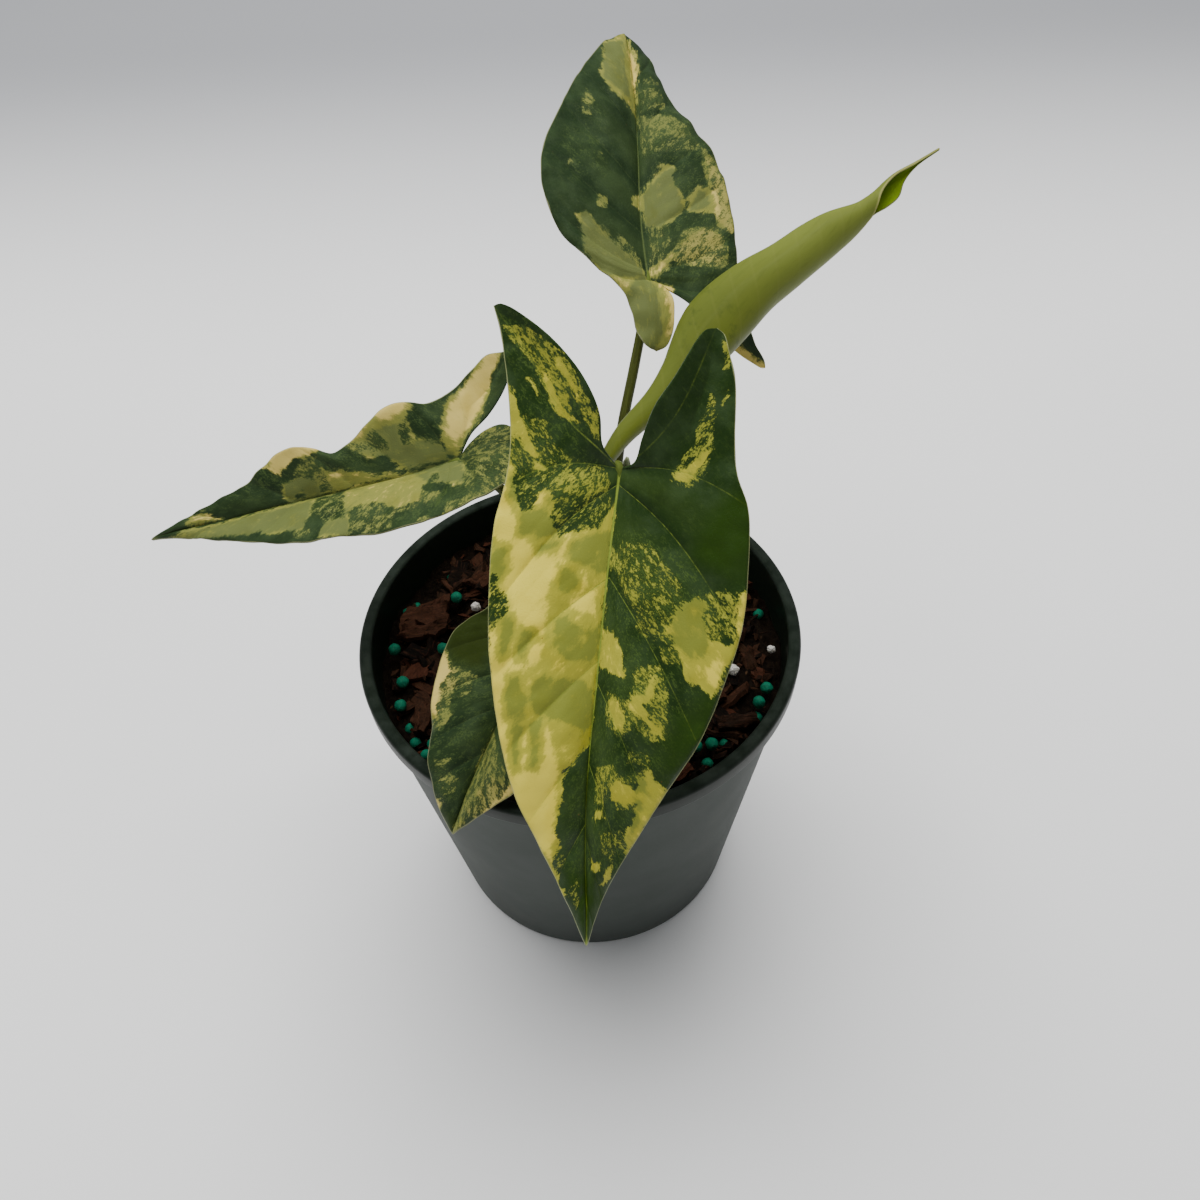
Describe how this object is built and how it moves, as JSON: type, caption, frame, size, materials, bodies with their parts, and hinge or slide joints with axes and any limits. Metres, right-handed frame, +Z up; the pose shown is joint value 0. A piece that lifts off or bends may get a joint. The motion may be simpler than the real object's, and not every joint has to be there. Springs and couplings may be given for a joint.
{
  "type": "potted syngonium",
  "caption": "Young variegated arrowhead-leaved house plant on slender petioles, with a rolled new leaf, in a round tapered nursery pot of bark mix.",
  "frame": {"origin": "centre of the flat underside of the pot, on the surface it stands on", "axes": "+Z up along the pot's axis; -Y towards the side that the largest leaf hangs to; +X to the side that the rolled new leaf points to"},
  "size_m": [0.1796, 0.1949, 0.1783],
  "materials": {
    "pot": "thin moulded dark green nursery plastic, soft satin sheen",
    "potting_mix": "dark moist bark and peat mix, rough and matt",
    "leaf": "living leaf, satin, deep green broken by cream, yellow and olive variegation",
    "new_leaf": "young rolled leaf, pale yellow-green, satin",
    "petiole": "living stalk, olive green, satin",
    "stem": "living stem, olive green with ringed nodes",
    "sheath": "thin pale sheath, papery",
    "bark": "weathered red-brown bark, rough and matt",
    "prill": "resin-coated teal-green fertiliser bead",
    "perlite": "white expanded mineral grain, matt"
  },
  "bodies": {
    "root": {"back_leaf": "leaf", "back_petiole": "petiole", "bark_chip_01": "bark", "bark_chip_02": "bark", "bark_chip_03": "bark", "bark_chip_04": "bark", "bark_chip_05": "bark", "bark_chip_06": "bark", "bark_chip_07": "bark", "bark_chip_08": "bark", "bark_chip_09": "bark", "bark_chip_10": "bark", "bark_chip_11": "bark", "bark_chip_12": "bark", "bark_chip_13": "bark", "bark_chip_14": "bark", "fertiliser_prill_01": "prill", "fertiliser_prill_02": "prill", "fertiliser_prill_03": "prill", "fertiliser_prill_04": "prill", "fertiliser_prill_05": "prill", "fertiliser_prill_06": "prill", "fertiliser_prill_07": "prill", "fertiliser_prill_08": "prill", "fertiliser_prill_09": "prill", "fertiliser_prill_10": "prill", "fertiliser_prill_11": "prill", "fertiliser_prill_12": "prill", "front_leaf": "leaf", "front_petiole": "petiole", "front_sheath": "sheath", "left_leaf": "leaf", "left_petiole": "petiole", "new_leaf": "new_leaf", "new_petiole": "petiole", "perlite_01": "perlite", "perlite_02": "perlite", "perlite_03": "perlite", "perlite_04": "perlite", "perlite_05": "perlite", "perlite_06": "perlite", "pot": "pot", "potting_mix": "potting_mix", "small_leaf": "leaf", "small_petiole": "petiole", "stem": "stem"}
  },
  "joints": []
}
